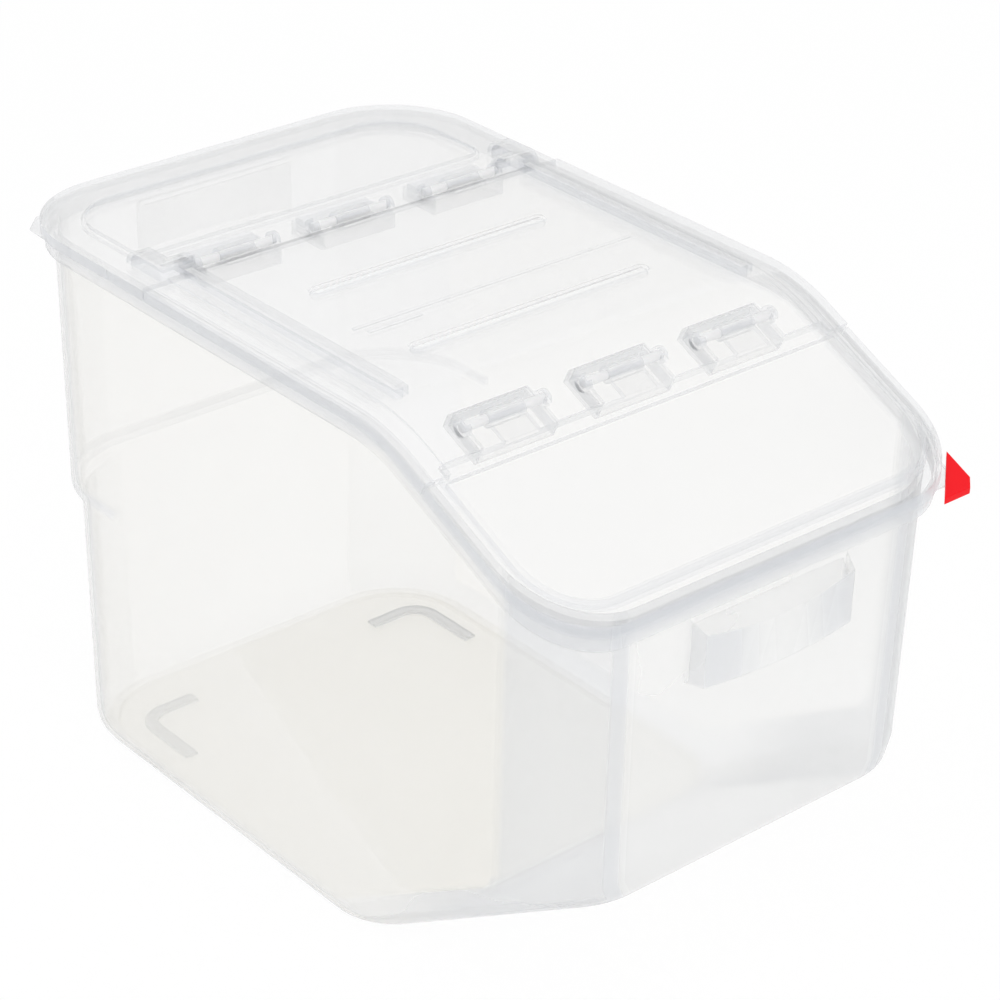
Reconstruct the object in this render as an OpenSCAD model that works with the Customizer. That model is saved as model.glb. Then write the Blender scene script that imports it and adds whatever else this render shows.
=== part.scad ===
// Ingredient bin in milky polypropylene with a lid in three hinged sections.
// The rim runs level over the rear and slopes down to the low scooping end.
// The low end faces -Y, +Z is up, and the origin is on the floor under the middle of the rim.

/* [Rim] */
// Width over the rim
rim_w = 400; // [380:2:430]
// Length over the rim
rim_l = 650; // [620:2:700]
// Radius of the rim's front corners
rim_r_front = 64; // [58:1:72]
// Radius of the rim's rear corners
rim_r_rear = 80; // [72:1:88]
// Height of the level run of the rim
rim_h = 446; // [430:1:480]
// Height of the rim at the low end
front_h = 360; // [345:1:375]
// Plan length of the sloped run
slope_run = 188; // [178:1:198]
// Radius of the bend between the two runs
bend_r = 147; // [100:1:170]
// Depth of the band round the tub's rim
lip_depth = 21; // [16:1:26]
// Distance from the lid's edge in to the tub's lip
lip_inset = 3.2; // [3:0.1:4]

/* [Tub] */
// Wall thickness of the tub
wall = 3; // [2.5:0.1:3.5]
// Distance from the rim's edge in to the tub's side walls at the rim
side_inset = 7.5; // [7:0.1:9]
// Distance from the rim's edge in to the tub's end walls at the rim
end_inset = 7.3; // [7:0.1:9]
// Radius of the tub's front corners
tub_r_front = 68; // [62:1:74]
// Radius of the tub's rear corners
tub_r_rear = 80; // [72:1:86]
// Draft angle of the walls
draft = 0.7; // [0.4:0.1:1.2]
// Radius of the edge round the floor
floor_edge = 19; // [14:1:24]
// Distance from the rim's front edge back to the foot of the ramp
ramp_foot = 193; // [180:1:210]
// Radius of the floor's front corners
foot_r = 60; // [50:1:70]
// Height of the ramp's upper edge on the front wall
ramp_h = 126; // [115:1:130]
// Radius of the corners at the ramp's upper edge
ramp_r = 75; // [70:1:90]
// Height at which the front corners reach their full shape
corner_h = 140; // [134:1:160]
// Height of the shoulder in the rear wall
shoulder_h = 222; // [200:1:240]
// Depth of the shoulder in the rear wall
shoulder_d = 15; // [10:1:18]
// Height of the shoulder's slanted face
shoulder_rise = 7; // [5:1:10]

/* [Floor marks] */
// Distance of the floor marks' corners from the centre line
mark_x = 152; // [145:1:155]
// Place of the floor marks' corners along the length
mark_y = 242; // [225:1:245]
// Length of a floor mark across the bin
mark_short = 58; // [45:1:65]
// Length of a floor mark along the bin
mark_long = 76; // [60:1:85]
// Width of the ridge of a floor mark
mark_w = 11; // [9:0.5:13]
// Height of the ridge of a floor mark above the floor
mark_h = 3; // [2:0.5:4]

/* [Grips] */
// Width of a hand grip along the wall
grip_w = 152; // [140:2:170]
// Distance the ends of a grip's front face stand out past the rim
grip_out = 6; // [4:0.5:8]
// Bow of a grip's front face between its ends
grip_bow = 6; // [4:0.5:8]
// Plan length of the slanted end of a grip
grip_end = 5; // [4:1:10]
// Depth of a grip's front face below the rim's top
grip_top = 33; // [31:1:40]
// Height of a grip's front face
grip_h = 42; // [38:1:52]
// Thickness of a grip
grip_t = 3; // [2.5:0.1:3.5]

/* [Corner tabs] */
// Distance from the rim's side edge in to the tab's outer edge
tab_inset_x = 10; // [9:0.5:12]
// Distance from the rim's end edge in to the tab's outer edge
tab_inset_y = 10; // [9:0.5:12]
// Length cut off the tip of the bare tab
tab_cut = 16; // [10:1:18]
// Length of a tab along each side, measured from the rim's corner
tab_len = 76; // [70:1:82]
// Thickness of a tab
tab_t = 2; // [1.8:0.1:3]
// Depth of the tab's top below the rim's top
tab_drop = 12.1; // [11:0.1:14]
// Thickness of the colour clip's plates
clip_t = 1.2; // [1:0.1:2]
// Play between the colour clip and its tab
clip_play = 0.15; // [0.1:0.05:0.3]
// Distance from the rim's edges in to the colour clip's outer edges
clip_inset = 0; // [0:0.5:2]
// Length cut off the tip of the colour clip and of the tab in it
clip_cut = 7; // [5:0.5:9]
// Length of the colour clip across the bin, measured from the rim's corner
clip_len_x = 34; // [32:1:38]
// Length of the colour clip along the bin, measured from the rim's corner
clip_len_y = 31; // [29:1:35]

/* [Lid] */
// Thickness of the lid's plates
lid_t = 3; // [2.5:0.1:3.5]
// Depth of the lid's skirt
skirt_depth = 9; // [7:0.5:11]
// Thickness of the lid's skirt
skirt_t = 2.2; // [1.8:0.1:2.6]
// Play between the lid and the tub's rim
seat_play = 0.3; // [0.2:0.05:0.5]
// Gap between the lid's sections
split_gap = 1.6; // [1.2:0.1:2.2]
// Place of the rear split along the length
rear_split = 134; // [125:1:140]
// Distance of the front split from the rim's front end, at the rim's side bands
flap_reach = 136; // [131:1:140]
// Distance the flap's middle reaches back past its side bands, along the slope
tongue = 9; // [8:1:11]
// Half width of the flap's tongue
tongue_half = 180; // [179:0.5:181]
// Border width of the rear section's sunk panel
rear_border = 31; // [28:1:36]
// Place of the sunk panel's front edge along the length
rear_sink_y = 183; // [180:1:190]
// Depth of the rear section's sunk panel
rear_sink = 3.5; // [3:0.5:7]
// Border width of the flap's raised panel
flap_border = 11; // [10:1:15]
// Height of the flap's raised panel above the rim
flap_rise = 5; // [4:0.5:6]
// Height of the middle section above the rim
mid_rise = 2; // [1.5:0.5:2.5]
// Height of the middle section's centre panel above its side bands
mid_step = 1.5; // [1:0.1:2]
// Half width of the middle section's centre panel
mid_half = 178; // [172:1:181]

/* [Rails and beads] */
// Distance of the side rails from the centre line
rail_x = 163; // [158:1:166]
// Width of a side rail
rail_w = 12; // [9:1:14]
// Height of a side rail above the rim
rail_h = 11; // [9:1:13]
// Wall thickness of a side rail
rail_t = 2.4; // [2:0.1:3]
// Place of the rails' front ends along the length
rail_front = -119; // [-125:1:-105]
// Half length of the raised beads
bead_half = 106; // [80:1:120]
// Radius of the raised beads' round tops
bead_r = 8; // [7:0.5:9]
// Places of the two raised beads along the length
bead_y = [49, -66];
// Place of the long score line along the length
score_y = -16; // [-35:1:-5]
// Place of the long score line's left end across the bin
score_left = -124; // [-135:1:-90]
// Place of the long score line's right end across the bin
score_right = 140; // [90:1:145]
// Width of a score line
score_w = 3.2; // [1.6:0.2:3.6]
// Depth of a score line
score_d = 1.3; // [0.6:0.1:1.5]

/* [Hinges] */
// Distance between neighbouring hinges
hinge_pitch = 109; // [100:1:112]
// Width of a hinge pocket
pocket_w = 66; // [62:1:74]
// Depth of a hinge pocket below the rim
pocket_d = 12; // [11:0.5:14]
// Wall thickness of a hinge pocket
pocket_t = 2.4; // [2:0.1:3]
// Diameter of a hinge pin
pin_d = 7; // [6:0.5:8]
// Running clearance of a pin in a knuckle, on the radius
pin_play = 0.08; // [0.05:0.01:0.1]
// Outer radius of a knuckle
knuckle_r = 6.6; // [6.2:0.1:7]
// Width of a knuckle
knuckle_w = 31; // [26:1:40]
// Thickness of the arm from a knuckle
arm_t = 4; // [3:0.5:5]
// Depth of the pin's seat in a pocket's side
seat_d = 4; // [3:0.5:5]
// Clearance of a pin in its seats, on the radius
seat_clear = 0.05; // [0.02:0.01:0.1]
// Width of the slot a pin is pressed through into its seats
seat_slot = 5.8; // [5.4:0.1:6.2]
// Height of the rear hinge axis above the rim
rear_axis_rise = 1; // [0.5:0.5:1.5]
// Distance from the rear split back to the rear hinge axis
rear_axis_back = 12; // [11.5:0.5:14]
// Distance from the rear hinge axis to the back of its pockets
rear_pocket_back = 25; // [18:1:28]
// Height of the front hinge axis above the rim
front_axis_rise = 2.5; // [2:0.5:3]
// Distance from the flap's tongue back to the front hinge axis, along the slope
front_axis_back = 22; // [21:1:24]
// Distance from the front hinge axis to the back of its pockets
front_pocket_back = 14; // [13:1:17]
// Radius of the round shoulders at the rear hinge
ear_r = 10.5; // [9:0.5:11]
// Distance of the shoulders' inner ends from the centre line
ear_in = 150; // [149:1:153]
// Distance of the shoulders' outer ends from the centre line
ear_out = 182; // [180:1:186]
// Distance of the trailing pads' inner ends from the centre line
pad_in = 166; // [163:1:170]
// Distance from the rear hinge axis back to the pads' rear round
pad_back = 24; // [18:1:28]
// Radius of the pads' rear round
pad_r = 10; // [8:0.5:10.5]

/* [Hidden] */

milky = [0.93, 0.93, 0.90, 0.55];
lid_milky = [0.93, 0.93, 0.95, 0.55];
pin_white = [0.97, 0.97, 0.97];
clip_red = [0.86, 0.03, 0.03];

$fn = 72;
hull_fn = 72;
bend_steps = 10;
skin = 0.01;
bite = 0.8;

slope_a = atan((rim_h - front_h) / slope_run);
bend_y = slope_run - rim_l / 2;
bend_c = [bend_y + bend_r * tan(slope_a / 2), rim_h - bend_r];
reach = rim_l / 2;
rim_under = -lid_t - seat_play;
tan_draft = tan(draft);
up_slope = [cos(slope_a), sin(slope_a)];
off_slope = [-sin(slope_a), cos(slope_a)];
// End wall behind a pin's seat, radius of the sunk panel's front corners
seat_end = 1.5;
sink_r = 16;
// Depth of a bead's centre below the panel's top, wall thickness of a bead
bead_sink = 4.5;
bead_t = 2.2;

// The run of the rim as points in the YZ plane, raised square to itself, from the rear to the front
function bend_point(a, rise) = bend_c + (bend_r + rise) * [-sin(a), cos(a)];
function run(rise) = concat(
    [[rim_l, rim_h + rise]],
    [for (i = [0 : bend_steps]) bend_point(slope_a * i / bend_steps, rise)],
    [bend_point(slope_a, rise) - reach * [cos(slope_a), sin(slope_a)]]
);
function backward(list) = [for (i = [len(list) - 1 : -1 : 0]) list[i]];

// A place on the sloped run: plan position y and height square to the slope
function on_slope(y, rise) =
    [y, rim_h - (bend_y - y) * tan(slope_a)] + rise * [-sin(slope_a), cos(slope_a)];

rear_axis = [rear_split + rear_axis_back, rim_h + rear_axis_rise];
front_split = flap_reach - rim_l / 2;
front_axis = on_slope(front_split, front_axis_rise) + (tongue + front_axis_back) * up_slope;
hinge_xs = [-hinge_pitch, 0, hinge_pitch];

// Half width and end places of the tub's outer wall at a height
function half_w(z) = rim_w / 2 - side_inset - (rim_h - z) * tan_draft;
function front_y(z) = -rim_l / 2 + end_inset + (front_h - z) * tan_draft;
function rear_y(z) = rim_l / 2 - end_inset - (rim_h - z) * tan_draft;

// Turns a YZ outline into a prism across the bin
module across(length) {
    rotate([90, 0, 90])
        linear_extrude(height = length, center = true)
            children();
}

// The layer between two heights over the rim's run
module layer(low, high) {
    across(2 * rim_w)
        polygon(concat(run(high), backward(run(low))));
}

// A rectangle about the centre line with its own radii at the front and at the rear
module round_box(half, front, rear, r_front, r_rear) {
    mid = (front + rear) / 2;
    translate([-half, front + r_front])
        square([2 * half, rear - front - r_front - r_rear]);
    translate([r_front - half, front])
        square([2 * (half - r_front), mid - front]);
    translate([r_rear - half, mid])
        square([2 * (half - r_rear), rear - mid]);
    for (x = [-1, 1]) {
        translate([x * (half - r_front), front + r_front])
            circle(r = r_front);
        translate([x * (half - r_rear), rear - r_rear])
            circle(r = r_rear);
    }
}

// The rim's plan drawn in by an inset, as a tall prism
module plan(inset) {
    linear_extrude(height = 2 * rim_h)
        round_box(rim_w / 2 - inset, inset - rim_l / 2, rim_l / 2 - inset,
            rim_r_front - inset, rim_r_rear - inset);
}

// A ring round the rim's plan between two insets and two heights
module rim_ring(outer, inner, low, high) {
    difference() {
        intersection() {
            plan(outer);
            layer(low, high);
        }
        plan(inner);
    }
}

// What lies behind the rear split
module rear_part() {
    translate([-rim_w, rear_split + split_gap / 2, 0])
        cube([2 * rim_w, rim_l, 2 * rim_h]);
}

// What lies in front of a cut square to the slope, moved up the slope by a distance
module before_cut(up, half) {
    cut = on_slope(front_split, 0) + up * up_slope;
    n = reach * off_slope;
    away = cut - reach * up_slope;
    across(2 * half)
        polygon([cut + n, away + n, away - n, cut - n]);
}

module middle_part() {
    difference() {
        translate([-rim_w, -rim_l, 0])
            cube([2 * rim_w, rim_l + rear_split - split_gap / 2, 2 * rim_h]);
        before_cut(split_gap / 2, rim_w);
        before_cut(tongue + split_gap / 2, tongue_half + split_gap / 2);
    }
}

module flap_part() {
    before_cut(-split_gap / 2, rim_w);
    before_cut(tongue - split_gap / 2, tongue_half - split_gap / 2);
}

// A slab across the bin between two places along the length
module between(half, front, rear) {
    translate([-half, front, 0])
        cube([2 * half, rear - front, 2 * rim_h]);
}

// Puts children on the slope: their origin at the front edge of the rim, Y up the slope
module lay_on_slope() {
    foot = on_slope(-rim_l / 2, 0);
    translate([0, foot[0], foot[1]])
        rotate([slope_a, 0, 0])
            children();
}

// Puts children at a hinge axis, with Y to the rear along the lid's surface
module at_rear_axis() {
    translate([0, rear_axis[0], rear_axis[1]])
        children();
}

module at_front_axis() {
    translate([0, front_axis[0], front_axis[1]])
        rotate([slope_a, 0, 0])
            children();
}

// A round bar across the bin
module bar(r, length) {
    rotate([0, 90, 0])
        cylinder(r = r, h = length, center = true);
}

// One level of the tub, between its front and rear places, for hulling
module tub_level(z, half, front, rear, r_front, r_rear) {
    for (x = [-1, 1]) {
        translate([x * (half - r_front), front + r_front, z])
            cylinder(r = r_front, h = skin, $fn = hull_fn);
        translate([x * (half - r_rear), rear - r_rear, z])
            cylinder(r = r_rear, h = skin, $fn = hull_fn);
    }
}

// The tub's form drawn in by an inset: inset 0 is outside, inset wall is inside
module tub_form(inset) {
    foot = ramp_foot - rim_l / 2;
    edge = floor_edge - inset;
    lower_in = shoulder_d + inset;
    step = shoulder_h - shoulder_rise + inset;
    top = rim_h + rim_r_rear;
    // lower body with the floor, the ramp and the rounded front corners
    hull() {
        for (a = [0 : 22.5 : 90]) {
            z = inset + edge * (1 - sin(a));
            in = inset + edge * (1 - cos(a));
            tub_level(z, half_w(z) - in, foot + in - inset, rear_y(z) - shoulder_d - in,
                foot_r - in, tub_r_rear - in);
        }
        tub_level(ramp_h, half_w(ramp_h) - inset, front_y(ramp_h) + inset,
            rear_y(ramp_h) - lower_in, ramp_r - inset, tub_r_rear - inset);
        tub_level(corner_h, half_w(corner_h) - inset, front_y(corner_h) + inset,
            rear_y(corner_h) - lower_in, tub_r_front - inset, tub_r_rear - inset);
        tub_level(step, half_w(step) - inset, front_y(step) + inset,
            rear_y(step) - lower_in, tub_r_front - inset, tub_r_rear - inset);
    }
    // upper body, which steps out at the rear over the shoulder
    hull() {
        tub_level(step, half_w(step) - inset, front_y(step) + inset,
            rear_y(step) - lower_in, tub_r_front - inset, tub_r_rear - inset);
        tub_level(step + shoulder_rise, half_w(step + shoulder_rise) - inset,
            front_y(step + shoulder_rise) + inset, rear_y(step + shoulder_rise) - inset,
            tub_r_front - inset, tub_r_rear - inset);
        tub_level(top, half_w(top) - inset, front_y(top) + inset,
            rear_y(top) - inset, tub_r_front - inset, tub_r_rear - inset);
    }
}

// Hand grip on the front wall, open from below; the rim's top is at top_z
module grip(top_z) {
    difference() {
        grip_block(top_z, 0, bite);
        grip_block(top_z, grip_t, bite / 2);
    }
}

module grip_block(top_z, inset, back) {
    half = grip_w / 2 - inset;
    face_half = half - grip_end;
    face_y = inset - rim_l / 2 - grip_out;
    bow_r = (pow(face_half, 2) + pow(grip_bow, 2)) / (2 * grip_bow);
    low = top_z - grip_top - grip_h - (inset > 0 ? 1 : 0);
    high = top_z - grip_top - inset;
    steep = 0.62;
    wall_low = end_inset - rim_l / 2 + (top_z - low) * tan_draft + back;
    wall_high = wall_low - grip_h * tan_draft;
    intersection() {
        translate([0, 0, low])
            linear_extrude(height = top_z - low) {
                polygon([[-half, wall_low], [half, wall_low], [face_half, face_y], [-face_half, face_y]]);
                intersection() {
                    translate([0, face_y - grip_bow + bow_r])
                        circle(r = bow_r, $fn = 240);
                    translate([-face_half, face_y - grip_bow])
                        square([2 * face_half, grip_bow + 1]);
                }
            }
        across(grip_w + 2)
            polygon([
                [face_y - 20, low],
                [face_y - 20, high - 20 * steep],
                [wall_high, high + (wall_high - face_y) * steep],
                [wall_low, low]
            ]);
    }
}

// Locating mark in the floor: two arms that meet in a round corner
module floor_mark(w) {
    in = (mark_w - w) / 2;
    r = 25 - in;
    translate([in, -mark_long + in])
        square([w, mark_long - 25 - in + bite]);
    translate([25 - bite, -in - w])
        square([mark_short - 25 - in + bite, w]);
    translate([25, -25])
        intersection() {
            difference() {
                circle(r = r);
                circle(r = r - w);
            }
            translate([-25, 0])
                square(25);
        }
}

module floor_marks(w, low, high) {
    for (side = [0, 1])
        mirror([side, 0, 0])
            translate([-mark_x, mark_y, low])
                linear_extrude(height = high - low)
                    floor_mark(w);
}

// Plate that squares off the rim's rounded corners, with tips cut by c
module corner_plate(low, high, in_x, in_y, inner, c) {
    x = rim_w / 2 - in_x;
    y = rim_l / 2 - in_y;
    intersection() {
        layer(low, high);
        difference() {
            linear_extrude(height = 2 * rim_h)
                polygon([
                    [c - x, -y], [x - c, -y], [x, c - y], [x, y - c],
                    [x - c, y], [c - x, y], [-x, y - c], [-x, c - y]
                ]);
            plan(inner);
        }
    }
}

// Tab at one corner of the rim
module tab(x_side, y_side, cut) {
    intersection() {
        corner_plate(-tab_drop - tab_t, -tab_drop, tab_inset_x, tab_inset_y, lip_inset + bite, cut);
        mirror([x_side < 0 ? 1 : 0, 0, 0])
            mirror([0, y_side < 0 ? 1 : 0, 0])
                translate([rim_w / 2 - tab_len, rim_l / 2 - tab_len, 0])
                    cube([rim_w, rim_l, 2 * rim_h]);
    }
}

module tub() {
    color(milky)
        difference() {
            union() {
                difference() {
                    union() {
                        // walls, cut off under the lid
                        difference() {
                            tub_form(0);
                            layer(rim_under, rim_under + rim_h);
                        }
                        // rim plate and the band that hangs from it
                        intersection() {
                            plan(lip_inset);
                            layer(rim_under - wall, rim_under);
                        }
                        rim_ring(lip_inset, lip_inset + skirt_t, -lip_depth, rim_under);
                        grip(front_h);
                        mirror([0, 1, 0])
                            grip(rim_h);
                        tab(1, -1, clip_cut);
                        tab(-1, 1, tab_cut);
                    }
                    tub_form(wall);
                }
                floor_marks(mark_w, wall - bite, wall + mark_h);
            }
            floor_marks(mark_w - 2 * wall, -1, mark_h);
        }
}

// Colour clip pushed over the tab at the front right corner, with a slanted inner side
module colour_clip() {
    play = clip_play;
    grow = clip_play + clip_t;
    over = 0.2;
    color(clip_red)
        intersection() {
            translate([rim_w / 2, -rim_l / 2, 0])
                linear_extrude(height = 2 * rim_h)
                    polygon([
                        [-(1 + over) * clip_len_x, -over * clip_len_y],
                        [over * clip_len_x, -over * clip_len_y],
                        [over * clip_len_x, (1 + over) * clip_len_y]
                    ]);
            difference() {
                corner_plate(-tab_drop - tab_t - grow, -tab_drop + grow,
                    clip_inset, clip_inset, skirt_t, clip_cut);
                corner_plate(-tab_drop - tab_t - play, -tab_drop + play,
                    tab_inset_x - play, tab_inset_y - play, lip_inset, clip_cut);
            }
        }
}

// Tray of a hinge pocket under a lid plate, at a hinge axis whose plate top is at z = surface
module pocket_shell(surface, front, back) {
    for (x = hinge_xs)
        translate([x - pocket_w / 2 - pocket_t, front, surface - pocket_d - pocket_t])
            cube([pocket_w + 2 * pocket_t, back - front + pocket_t, pocket_d + pocket_t - lid_t + bite]);
}

module pocket_space(surface, front, back) {
    for (x = hinge_xs)
        translate([x - pocket_w / 2, front, surface - pocket_d])
            cube([pocket_w, back - front, pocket_d + 3 * knuckle_r]);
}

// Round lugs at a pocket's sides that hold the pin's ends
module pin_lugs() {
    for (x = hinge_xs, side = [-1, 1])
        translate([x + side * (pocket_w / 2 + (seat_d + seat_end) / 2), 0, 0])
            bar(knuckle_r, seat_d + seat_end);
}

// The pin's seats, open at the top by a slot narrower than the pin
module pin_seats() {
    long = pocket_w + 2 * seat_d;
    for (x = hinge_xs)
        translate([x, 0, 0]) {
            bar(pin_d / 2 + seat_clear, long);
            translate([-long / 2, -seat_slot / 2, 0])
                cube([long, seat_slot, 2 * knuckle_r]);
        }
}

// Arms that reach from a lid's edge to the hinge pins
module hinge_arms(front, low) {
    for (x = hinge_xs)
        translate([x, 0, 0]) {
            bar(knuckle_r, knuckle_w);
            translate([-knuckle_w / 2, front, low])
                cube([knuckle_w, -front, arm_t]);
        }
}

module pin_bores() {
    for (x = hinge_xs)
        translate([x, 0, 0])
            bar(pin_d / 2 + pin_play, knuckle_w + 1);
}

// Outline in YZ of a shoulder round the rear axis, and of the pad that trails behind it
module ear_outline(inset) {
    intersection() {
        circle(r = ear_r - inset);
        translate([-rim_w, -rear_axis_rise - lid_t])
            square(2 * rim_w);
    }
}

module pad_outline(inset) {
    intersection() {
        union() {
            ear_outline(inset);
            translate([pad_back, 0])
                circle(r = pad_r - inset);
            translate([0, -ear_r])
                square([pad_back, ear_r + pad_r - inset]);
        }
        translate([-rim_w, -rear_axis_rise - lid_t])
            square(2 * rim_w);
    }
}

// Shoulders of both sides at the rear axis, drawn in by an inset
module ears(inset) {
    for (side = [0, 1])
        mirror([side, 0, 0])
            at_rear_axis() {
                translate([(ear_in + ear_out) / 2, 0, 0])
                    across(ear_out - ear_in - 2 * inset)
                        ear_outline(inset);
                translate([(pad_in + ear_out) / 2, 0, 0])
                    across(ear_out - pad_in - 2 * inset)
                        pad_outline(inset);
            }
}

module sunk_outline(inset) {
    round_box(rim_w / 2 - rear_border - inset, rear_sink_y + inset, rim_l / 2 - rear_border - inset,
        sink_r - inset, rim_r_rear - rear_border - inset);
}

module rear_lid() {
    color(lid_milky)
        difference() {
            union() {
                intersection() {
                    rear_part();
                    union() {
                        intersection() {
                            plan(0);
                            layer(-lid_t, 0);
                        }
                        rim_ring(0, skirt_t, -skirt_depth, 0);
                        at_rear_axis()
                            pocket_shell(-rear_axis_rise, -2 * rear_axis_back, rear_pocket_back);
                        intersection() {
                            plan(0);
                            ears(0);
                        }
                    }
                }
                translate([0, 0, rim_h - rear_sink - lid_t])
                    linear_extrude(height = rear_sink + lid_t)
                        sunk_outline(0);
                at_rear_axis()
                    pin_lugs();
            }
            translate([0, 0, rim_h - rear_sink])
                linear_extrude(height = rim_h)
                    sunk_outline(lid_t);
            ears(skirt_t);
            at_rear_axis() {
                pocket_space(-rear_axis_rise, -2 * rear_axis_back, rear_pocket_back);
                pin_seats();
            }
        }
}

// A raised bead across the middle section, or the hollow under it
module bead(y, r, length) {
    top = rim_h + mid_rise + mid_step;
    translate([0, y, top - bead_sink]) {
        bar(r, length);
        for (x = [-1, 1])
            translate([x * length / 2, 0, 0])
                sphere(r = r);
    }
}

// A side rail, drawn in by an inset
module rails(inset) {
    intersection() {
        layer(inset > 0 ? -2 * lid_t : mid_rise - bite, rail_h - inset);
        for (side = [-1, 1])
            translate([side * rail_x - rail_w / 2 + inset, rail_front + inset, 0])
                cube([rail_w - 2 * inset, rear_split - 3 - rail_front - 2 * inset, 2 * rim_h]);
    }
}

module middle_lid() {
    centre_top = mid_rise + mid_step;
    color(lid_milky)
        difference() {
            union() {
                intersection() {
                    middle_part();
                    union() {
                        // side bands that lie on the tub's rim, and the centre panel between them
                        difference() {
                            intersection() {
                                plan(0);
                                layer(-lid_t, mid_rise);
                            }
                            between(rim_w / 2 - side_inset - wall, -rim_l, rim_l);
                        }
                        intersection() {
                            difference() {
                                plan(skirt_t);
                                between(mid_half - 2, -rim_l, rim_l);
                            }
                            layer(mid_rise - lid_t, mid_rise);
                        }
                        intersection() {
                            between(mid_half, -rim_l, rim_l);
                            layer(centre_top - lid_t, centre_top);
                        }
                        rim_ring(0, skirt_t, -skirt_depth, mid_rise);
                        at_front_axis()
                            pocket_shell(bite - front_axis_rise, -2 * front_axis_back, front_pocket_back);
                    }
                }
                rails(0);
                for (y = bead_y)
                    intersection() {
                        bead(y, bead_r, 2 * bead_half);
                        layer(centre_top - lid_t, rail_h);
                    }
                at_rear_axis()
                    hinge_arms(-rear_axis_back - bite - split_gap, -arm_t / 2);
                at_front_axis()
                    pin_lugs();
            }
            rails(rail_t);
            for (y = bead_y)
                bead(y, bead_r - bead_t, 2 * bead_half);
            // score lines in the centre panel
            for (line = [[score_left, score_right, score_y], [score_left + 6, score_left + 54, score_y - 10]])
                translate([line[0], line[2] - score_w / 2, rim_h + centre_top - score_d])
                    cube([line[1] - line[0], score_w, rim_h]);
            at_front_axis() {
                pocket_space(-front_axis_rise, -2 * front_axis_back, front_pocket_back);
                pin_seats();
            }
            at_rear_axis()
                pin_bores();
        }
}

// One level of the flap's raised panel, for hulling
module flap_ring(height, inset, rear) {
    translate([0, 0, height])
        linear_extrude(height = skin)
            scale([1, 1 / cos(slope_a)])
                round_box(rim_w / 2 - inset, inset, rear, rim_r_front - inset, 2);
}

module front_flap() {
    edge = front_split + rim_l / 2;
    color(lid_milky)
        difference() {
            union() {
                intersection() {
                    flap_part();
                    union() {
                        intersection() {
                            plan(0);
                            layer(-lid_t, 0);
                        }
                        rim_ring(0, skirt_t, -skirt_depth, 0);
                        lay_on_slope()
                            hull() {
                                flap_ring(-skin, flap_border, edge + tongue + 20);
                                flap_ring(0.72 * flap_rise, flap_border + 2.4, edge + tongue + 20);
                                flap_ring(flap_rise - skin, flap_border + 6, edge + tongue + 20);
                            }
                    }
                }
                at_front_axis()
                    hinge_arms(-front_axis_back - 2 * split_gap, -arm_t / 2);
            }
            lay_on_slope()
                hull() {
                    flap_ring(-2 * lid_t, flap_border + 3, edge - lid_t);
                    flap_ring(0.72 * flap_rise - lid_t, flap_border + 5.4, edge - lid_t);
                    flap_ring(flap_rise - lid_t, flap_border + 9, edge - lid_t);
                }
            at_front_axis()
                pin_bores();
        }
}

// A hinge pin with its ends in the seats
module hinge_pin() {
    color(pin_white)
        bar(pin_d / 2, pocket_w + 2 * seat_d - 0.4);
}

module rear_pin_left() {
    at_rear_axis()
        translate([-hinge_pitch, 0, 0])
            hinge_pin();
}

module rear_pin_middle() {
    at_rear_axis()
        hinge_pin();
}

module rear_pin_right() {
    at_rear_axis()
        translate([hinge_pitch, 0, 0])
            hinge_pin();
}

module front_pin_left() {
    at_front_axis()
        translate([-hinge_pitch, 0, 0])
            hinge_pin();
}

module front_pin_middle() {
    at_front_axis()
        hinge_pin();
}

module front_pin_right() {
    at_front_axis()
        translate([hinge_pitch, 0, 0])
            hinge_pin();
}

tub();
rear_lid();
middle_lid();
front_flap();
colour_clip();
rear_pin_left();
rear_pin_middle();
rear_pin_right();
front_pin_left();
front_pin_middle();
front_pin_right();
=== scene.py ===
# Ingredient bin in milky polypropylene, dressed for a studio picture.
# Everything is in metres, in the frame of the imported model: -Y is the low scooping end, +Z is up.
from math import cos, radians, sin

import bmesh
import bpy
from mathutils import Matrix, Vector


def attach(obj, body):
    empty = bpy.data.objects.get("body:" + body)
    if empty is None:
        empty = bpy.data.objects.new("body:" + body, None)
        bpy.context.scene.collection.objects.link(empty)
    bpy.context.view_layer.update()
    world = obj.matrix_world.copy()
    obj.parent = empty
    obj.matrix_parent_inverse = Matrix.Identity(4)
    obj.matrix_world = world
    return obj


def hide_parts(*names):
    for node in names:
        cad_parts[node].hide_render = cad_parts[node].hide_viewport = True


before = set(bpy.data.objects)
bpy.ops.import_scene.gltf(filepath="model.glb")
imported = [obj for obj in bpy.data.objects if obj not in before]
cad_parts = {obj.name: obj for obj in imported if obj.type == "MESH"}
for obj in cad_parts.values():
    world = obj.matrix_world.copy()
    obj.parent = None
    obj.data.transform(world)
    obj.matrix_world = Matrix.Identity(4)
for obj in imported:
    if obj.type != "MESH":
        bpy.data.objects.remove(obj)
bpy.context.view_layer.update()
scene = bpy.context.scene

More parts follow.
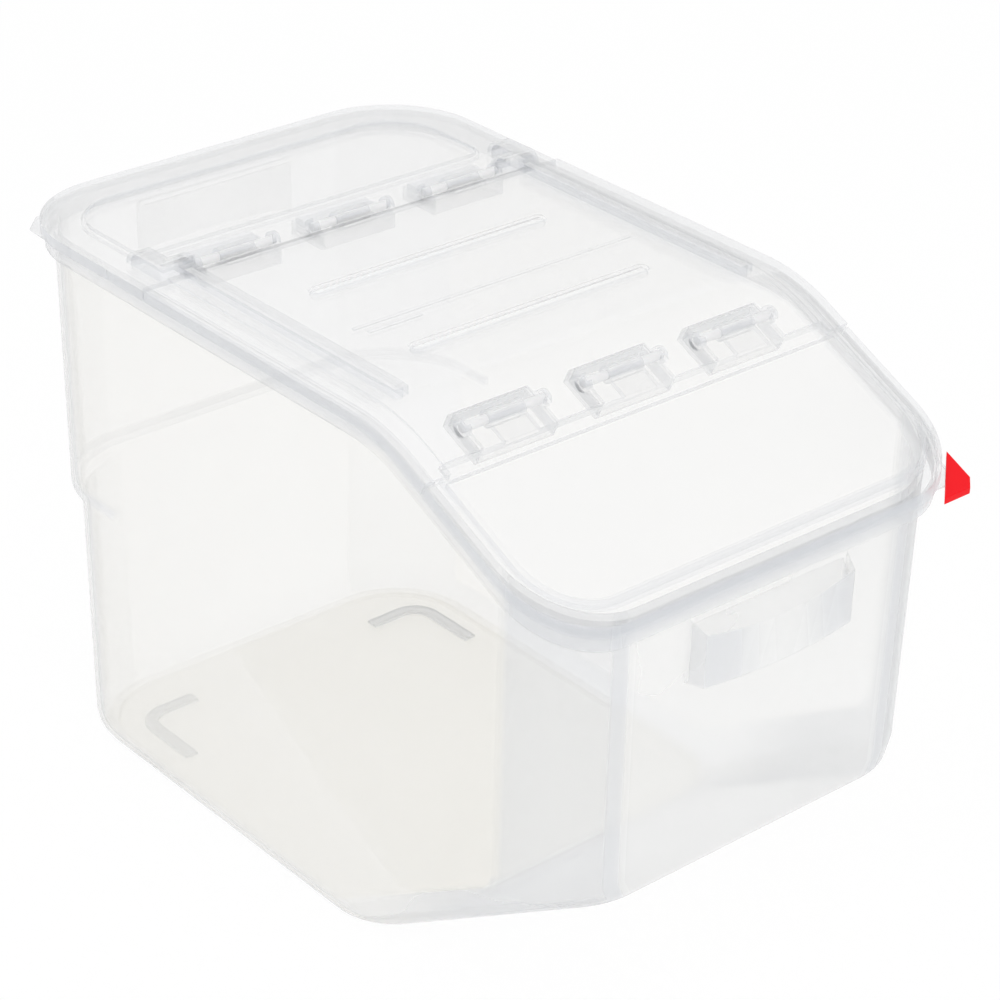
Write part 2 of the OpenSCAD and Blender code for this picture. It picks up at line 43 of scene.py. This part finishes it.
# Camera
# It stands in front, to the left of the low end, and looks down on the lid.
# The view is a long lens from a little over two metres.
AZIMUTH, ELEVATION, ROLL = radians(-41.162), radians(28.84), radians(1.467)
TARGET = Vector((0.0179, -0.0158, 0.2633))
DISTANCE = 2.3387
LENS_MM, SENSOR_MM = 110.74, 36
FURTHEST_SEEN = 60
backward = Vector((
    sin(AZIMUTH) * cos(ELEVATION),
    -cos(AZIMUTH) * cos(ELEVATION),
    sin(ELEVATION),
))
level = Vector((0, 0, 1)).cross(backward).normalized()
upright = backward.cross(level)
right = level * cos(ROLL) + upright * sin(ROLL)
up = upright * cos(ROLL) - level * sin(ROLL)
camera = bpy.data.objects.new("camera", bpy.data.cameras.new("camera"))
camera.data.lens = LENS_MM
camera.data.sensor_width = SENSOR_MM
camera.data.clip_end = FURTHEST_SEEN
camera.matrix_world = Matrix.Translation(TARGET + backward * DISTANCE) @ Matrix((
    (right.x, up.x, backward.x, 0),
    (right.y, up.y, backward.y, 0),
    (right.z, up.z, backward.z, 0),
    (0, 0, 0, 1),
))
scene.collection.objects.link(camera)
scene.camera = camera
scene.view_settings.view_transform = "Standard"


# Studio
# A sheet of white paper under a plain white sky. The camera sees the paper at nearly full white.
# Two soft lamps give shape: one high on the left and one lower down in front.
class Sock:
    """A node's output that takes part in Python sums."""

    def __init__(self, tree, out):
        self.tree = tree
        self.out = out

    def maths(self, operation, first, second=None):
        node = self.tree.nodes.new("ShaderNodeMath")
        node.operation = operation
        for socket, value in zip(node.inputs, (first, second)):
            feed(self.tree, socket, value)
        return Sock(self.tree, node.outputs[0])

    def __add__(self, other):
        return self.maths("ADD", self, other)

    def __radd__(self, other):
        return self.maths("ADD", other, self)

    def __sub__(self, other):
        return self.maths("SUBTRACT", self, other)

    def __rsub__(self, other):
        return self.maths("SUBTRACT", other, self)

    def __mul__(self, other):
        return self.maths("MULTIPLY", self, other)

    def __rmul__(self, other):
        return self.maths("MULTIPLY", other, self)

    def __pow__(self, other):
        return self.maths("POWER", self, other)

    def __abs__(self):
        return self.maths("ABSOLUTE", self)

    def above(self, limit):
        """1 where it is more than the limit."""
        return self.maths("GREATER_THAN", self, limit)

    def below(self, limit):
        """1 where it is less than the limit."""
        return self.maths("LESS_THAN", self, limit)

    def or_more(self, other):
        """The larger of the two."""
        return self.maths("MAXIMUM", self, other)


def feed(tree, socket, value):
    """Links a Sock to a socket, or sets a plain value on it."""
    if isinstance(value, Sock):
        tree.links.new(value.out, socket)
    elif value is not None:
        socket.default_value = value


class Finish:
    """The nodes of a material or of the sky, under construction."""

    def __init__(self, owner):
        owner.use_nodes = True
        self.owner = owner
        self.tree = owner.node_tree
        self.tree.nodes.clear()

    def node(self, kind, settings=None, inputs=None, output=0):
        made = self.tree.nodes.new("ShaderNode" + kind)
        for key, value in (settings or {}).items():
            setattr(made, key, value)
        for key, value in (inputs or {}).items():
            feed(self.tree, made.inputs[key], value)
        return Sock(self.tree, made.outputs[output]) if made.outputs else None

    def ramp(self, value, start, end, first=0.0, last=1.0):
        """Goes from first to last as the value goes from start to end, and holds them outside."""
        return self.node("MapRange", inputs={
            "Value": value, "From Min": start, "From Max": end, "To Min": first, "To Max": last})

    def close(self, kind, surface):
        self.node("Output" + kind, inputs={"Surface": surface})
        return self.owner


PAPER_REACH, PAPER_HEIGHT = 12, -0.0006
PURE_WHITE, PAPER_WHITE = (1, 1, 1, 1), (0.9, 0.9, 0.9, 1)
UNSHADED_SHARE = 0.94
paper = Finish(bpy.data.materials.new("white_paper"))
seen = paper.node("LightPath", output="Is Camera Ray").or_more(
    paper.node("LightPath", output="Is Glossy Ray").or_more(
        paper.node("LightPath", output="Is Transmission Ray")))
shaded = paper.node("BsdfDiffuse", inputs={"Color": PAPER_WHITE})
unshaded = paper.node("Emission", inputs={"Color": PURE_WHITE, "Strength": 1.0})
paper_white = paper.close("Material", paper.node(
    "MixShader", inputs={0: seen * UNSHADED_SHARE, 1: shaded, 2: unshaded}))
floor_mesh = bpy.data.meshes.new("floor")
floor_mesh.from_pydata(
    [(x * PAPER_REACH, y * PAPER_REACH, PAPER_HEIGHT)
     for x, y in ((-1, -1), (1, -1), (1, 1), (-1, 1))],
    [], [(0, 1, 2, 3)],
)
floor_mesh.materials.append(paper_white)
floor = bpy.data.objects.new("floor", floor_mesh)
scene.collection.objects.link(floor)

sky = Finish(bpy.data.worlds.new("studio"))
scene.world = sky.close("World", sky.node(
    "Background", inputs={"Color": PURE_WHITE, "Strength": 1.0}))

for name, place, aim, size, power in (
    ("key_lamp", (-1.6, -0.6, 2.4), (0.0, 0.0, 0.3), 1.6, 9),
    ("front_lamp", (-0.7, -2.4, 1.3), (0.0, 0.0, 0.25), 1.4, 10),
):
    lamp = bpy.data.objects.new(name, bpy.data.lights.new(name, "AREA"))
    lamp.data.size = size
    lamp.data.energy = power
    lamp.location = place
    lamp.rotation_euler = (Vector(place) - Vector(aim)).to_track_quat("Z", "Y").to_euler()
    scene.collection.objects.link(lamp)

# Tub
# The injection-moulded body in milky polypropylene, a thin shell with a fine moulded grain.
# It is clear on its flat walls, and denser and greyer in its front corners, foot, rim and ridges.
# In the corners and foot that is painted shade, and at the rim it is partly layered plastic and
# partly painted shade under the lid.
CLOUDS_PER_METRE, GRAINS_PER_METRE = 7.0, 900.0
CLOUDED_DENSITY, CLOUDED_ROUGHNESS = 0.03, 0.1
GRAIN_DEPTH, GRAIN_STRENGTH = 0.0004, 0.05
REFRACTION = 1.49
MILK_TINT, MILK_SHARE = (0.97, 0.97, 0.96, 1), 0.4
GLINT_ROUGHNESS, GLINT_EDGE, GLINT_SHARE = 0.22, 0.12, 0.4


def milky_plastic(name, colour, clear, dense, power, roughness, places=None):
    """Milky polypropylene. Its density runs from clear, face on, to dense, edge on.

    places gives extra density and the colour where a piece has parts that differ, and where shade
    is painted in.
    """
    finish = Finish(bpy.data.materials.new(name))
    place = finish.node("TexCoord", output="Object")
    facing = finish.node("LayerWeight", inputs={"Blend": 0.5}, output="Facing")
    clouds = finish.node("TexNoise", inputs={
        "Vector": place, "Scale": CLOUDS_PER_METRE, "Detail": 3.0}) - 0.5
    grain = finish.node("TexNoise", inputs={
        "Vector": place, "Scale": GRAINS_PER_METRE, "Detail": 1.0})
    density = clear + (dense - clear) * facing ** power + clouds * CLOUDED_DENSITY
    if places:
        more, colour = places(finish, place, colour)
        density = density + more
    skin = finish.node("BsdfPrincipled", inputs={
        "Base Color": colour,
        "Roughness": roughness + clouds * CLOUDED_ROUGHNESS,
        "IOR": REFRACTION,
        "Alpha": density,
        "Normal": finish.node("Bump", inputs={
            "Strength": GRAIN_STRENGTH, "Distance": GRAIN_DEPTH, "Height": grain}),
    })
    milk = finish.node("MixShader", inputs={
        0: density,
        1: finish.node("BsdfTransparent"),
        2: finish.node("BsdfTranslucent", inputs={"Color": MILK_TINT}),
    })
    body = finish.node("MixShader", inputs={0: MILK_SHARE, 1: skin, 2: milk})
    glint = finish.node("LayerWeight", inputs={"Blend": GLINT_EDGE}, output="Fresnel")
    mirror = finish.node("BsdfGlossy", inputs={
        "Color": PURE_WHITE, "Roughness": GLINT_ROUGHNESS})
    return finish.close("Material", finish.node(
        "MixShader", inputs={0: glint * GLINT_SHARE, 1: body, 2: mirror}))


def part(finish, vector, axis):
    """One part of a vector, as a Sock."""
    return finish.node("SeparateXYZ", inputs={0: vector}, output=axis)


def flat_normal(finish):
    """The normal of the face itself in the piece's own axes, so that places end at an edge."""
    return finish.node(
        "VectorTransform",
        {"vector_type": "NORMAL", "convert_from": "WORLD", "convert_to": "OBJECT"},
        {0: finish.node("NewGeometry", output="True Normal")})


def tinted(finish, colour, tint, factor):
    """The colour, turned to a tint where the factor is 1."""
    return finish.node("Mix", {"data_type": "RGBA"}, {0: factor, 6: colour, 7: tint}, output=2)


# The second grey is painted shade in the tub's corners, foot and ledge, and at the rim partly
# layered plastic, partly painted shade.
WARM_WHITE, SHADE_AND_THICK_GREY = (0.975, 0.92, 0.75, 1), (0.76, 0.78, 0.82, 1)
RIDGE_GREY = (0.6, 0.62, 0.66, 1)
UNDERSIDE, FLOOR_TOP = 0.0001, 0.0035
RIDGE_LOW, RIDGE_TOP = 0.0034, 0.0068
RIDGE_FRONT, RIDGE_BACK, RIDGE_HALF_WIDTH = 0.15, 0.2445, 0.154
LEDGE_LOW, LEDGE_TOP, LEDGE_FRONT = 0.2215, 0.2295, 0.2
RIM_TOP, RIM_DEPTH = 0.446, 0.022
RIM_BEND, RIM_SLOPE = -0.137, 0.457
LOW_END_BACK, LOW_END_FRONT, LOW_END_LEAST = -0.12, -0.2, 0.15
FRONT_WALL_BACK = -0.25
CORNER_FOOT_TOP = 0.12
FOOT_LOW, FOOT_TOP = 0.008, 0.03
CORNER_STARTS, CORNER_FULL, CORNER_FADES, CORNER_ENDS = 0.03, 0.12, 0.985, 0.999
SIDEWAYS, FORWARD = 0.99, -0.97


def tub_places(finish, place, colour):
    """Denser and greyer in the front corners, foot, rim, ledge and ridges. In the corners, foot and
    ledge this is painted shade, and at the rim it is partly layered plastic and partly painted
    shade.

    The side walls and the floor are warmer. side and ahead are 1 and -1 where a face looks
    straight to a side or to the low end.
    """
    normal = flat_normal(finish)
    side, ahead = abs(part(finish, normal, "X")), part(finish, normal, "Y")
    across, along, height = (part(finish, place, axis) for axis in "XYZ")
    low_end = finish.ramp(along, LOW_END_BACK, LOW_END_FRONT, LOW_END_LEAST, 1.0)
    corner = (
        low_end * finish.ramp(side, CORNER_STARTS, CORNER_FULL)
        * finish.ramp(side, CORNER_ENDS, CORNER_FADES))
    corner_foot = finish.ramp(height, 0.0, CORNER_FOOT_TOP, 1.0, 0.0)
    front_wall = ahead.below(FORWARD) * along.below(FRONT_WALL_BACK)
    bottom = height.below(FLOOR_TOP)
    ridge = (
        height.above(RIDGE_LOW) * height.below(RIDGE_TOP)
        * abs(across).below(RIDGE_HALF_WIDTH)
        * along.above(RIDGE_FRONT) * along.below(RIDGE_BACK))
    foot = low_end * finish.ramp(height, FOOT_TOP, FOOT_LOW) * height.above(UNDERSIDE)
    ledge = height.above(LEDGE_LOW) * height.below(LEDGE_TOP) * along.above(LEDGE_FRONT)
    under_rim = RIM_TOP - (RIM_BEND - along).or_more(0.0) * RIM_SLOPE - height
    rim = under_rim.below(RIM_DEPTH)
    # Where the grey goes: painted shade in the corners, foot and ledge, and at the rim partly
    # layered plastic, partly painted shade under the lid.
    shade_and_thick = corner.or_more(foot).or_more(rim.or_more(ledge))
    colour = tinted(finish, colour, WARM_WHITE, side.above(SIDEWAYS).or_more(bottom))
    colour = tinted(finish, colour, SHADE_AND_THICK_GREY, shade_and_thick)
    colour = tinted(finish, colour, RIDGE_GREY, ridge)
    # Extra density: painted shade in the corners, corner foot, foot and ledge, partly painted shade
    # at the rim, and denser front wall, ridges and floor.
    more = (
        corner * (0.18 + corner_foot * 0.2) + front_wall * 0.2 + foot * 0.15
        + rim * 0.06 + ledge * 0.1 + ridge * 0.5 + bottom * 0.08)
    return more, colour


SAME_POINT = 0.00002
FLAT, ROUND, SHARP = radians(0.6), radians(24), radians(35)


def smooth_copy(node, body, name, material, ease):
    """A new piece with a CAD node's shape, its edges eased as a mould leaves them.

    An edge that turns less than ROUND is shaded smooth, and one that turns more than SHARP is
    eased.
    """
    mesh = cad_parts[node].data.copy()
    mesh.materials.clear()
    mesh.materials.append(material)
    work = bmesh.new()
    work.from_mesh(mesh)
    bmesh.ops.remove_doubles(work, verts=work.verts, dist=SAME_POINT)
    bmesh.ops.dissolve_limit(work, angle_limit=FLAT, verts=work.verts, edges=work.edges)
    for face in work.faces:
        face.smooth = True
    for edge in work.edges:
        edge.smooth = len(edge.link_faces) == 2 and edge.calc_face_angle(0) < ROUND
    work.to_mesh(mesh)
    work.free()
    piece = bpy.data.objects.new(name, mesh)
    scene.collection.objects.link(piece)
    piece.matrix_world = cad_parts[node].matrix_world.copy()
    bevel = piece.modifiers.new("eased_edges", "BEVEL")
    bevel.width = ease
    bevel.segments = 2
    bevel.limit_method = "ANGLE"
    bevel.angle_limit = SHARP
    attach(piece, body)
    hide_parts(node)


tub_plastic = milky_plastic(
    "tub_plastic", (0.96, 0.965, 0.97, 1), clear=0.045, dense=0.4, power=3.4, roughness=0.4,
    places=tub_places)
smooth_copy("tub", "bin", "tub_skin", tub_plastic, ease=0.0005)

# Lid
# Three moulded plates in a cooler grade of the same plastic, a little denser than the tub's.
# They are painted greyer and denser, as shade, where they turn down: at the shoulders, skirts,
# hinge pockets and beads.
# A grey of painted shade, for faces of the lid that turn away from the sky.
TURNED_SHADE_GREY = (0.75, 0.78, 0.84, 1)
LIES_FLAT, TURNS_DOWN = 0.88, 0.7


def lid_places(finish, place, colour):
    """Denser and cooler, as painted shade, where a face no longer looks up than on the flat plates.
    """
    upward = abs(part(finish, flat_normal(finish), "Z"))
    turned_shade = finish.ramp(upward, LIES_FLAT, TURNS_DOWN)
    return turned_shade * 0.15, tinted(finish, colour, TURNED_SHADE_GREY, turned_shade)


lid_plastic = milky_plastic(
    "lid_plastic", (0.96, 0.965, 0.975, 1), clear=0.06, dense=0.5, power=2.8, roughness=0.32,
    places=lid_places)
for node, body in (("rear_lid", "lid"), ("middle_lid", "middle"), ("front_flap", "flap")):
    smooth_copy(node, body, node + "_skin", lid_plastic, ease=0.0005)

# Hinge pins
# Short white rods, pressed into the ends of the hinge pockets, that the next plate turns on.
# The rear row carries the middle section and the front row carries the flap.
pin_plastic = milky_plastic(
    "pin_plastic", (0.95, 0.95, 0.96, 1), clear=0.8, dense=1.0, power=2.0, roughness=0.3)
for row, body in (("rear", "lid"), ("front", "middle")):
    for side in ("left", "middle", "right"):
        node = f"{row}_pin_{side}"
        smooth_copy(node, body, node + "_rod", pin_plastic, ease=0.0004)

# Colour clip
# A glossy red clip that says by its colour what the bin is used for.
# It is moulded in one piece and pushed over the tab at the tub's front right corner.
red = Finish(bpy.data.materials.new("clip_red"))
red_plastic = red.close("Material", red.node("BsdfPrincipled", inputs={
    "Base Color": (0.8, 0.004, 0.01, 1),
    "Roughness": 0.28,
    "Specular IOR Level": 0.12,
}))
smooth_copy("colour_clip", "bin", "clip_skin", red_plastic, ease=0.0004)
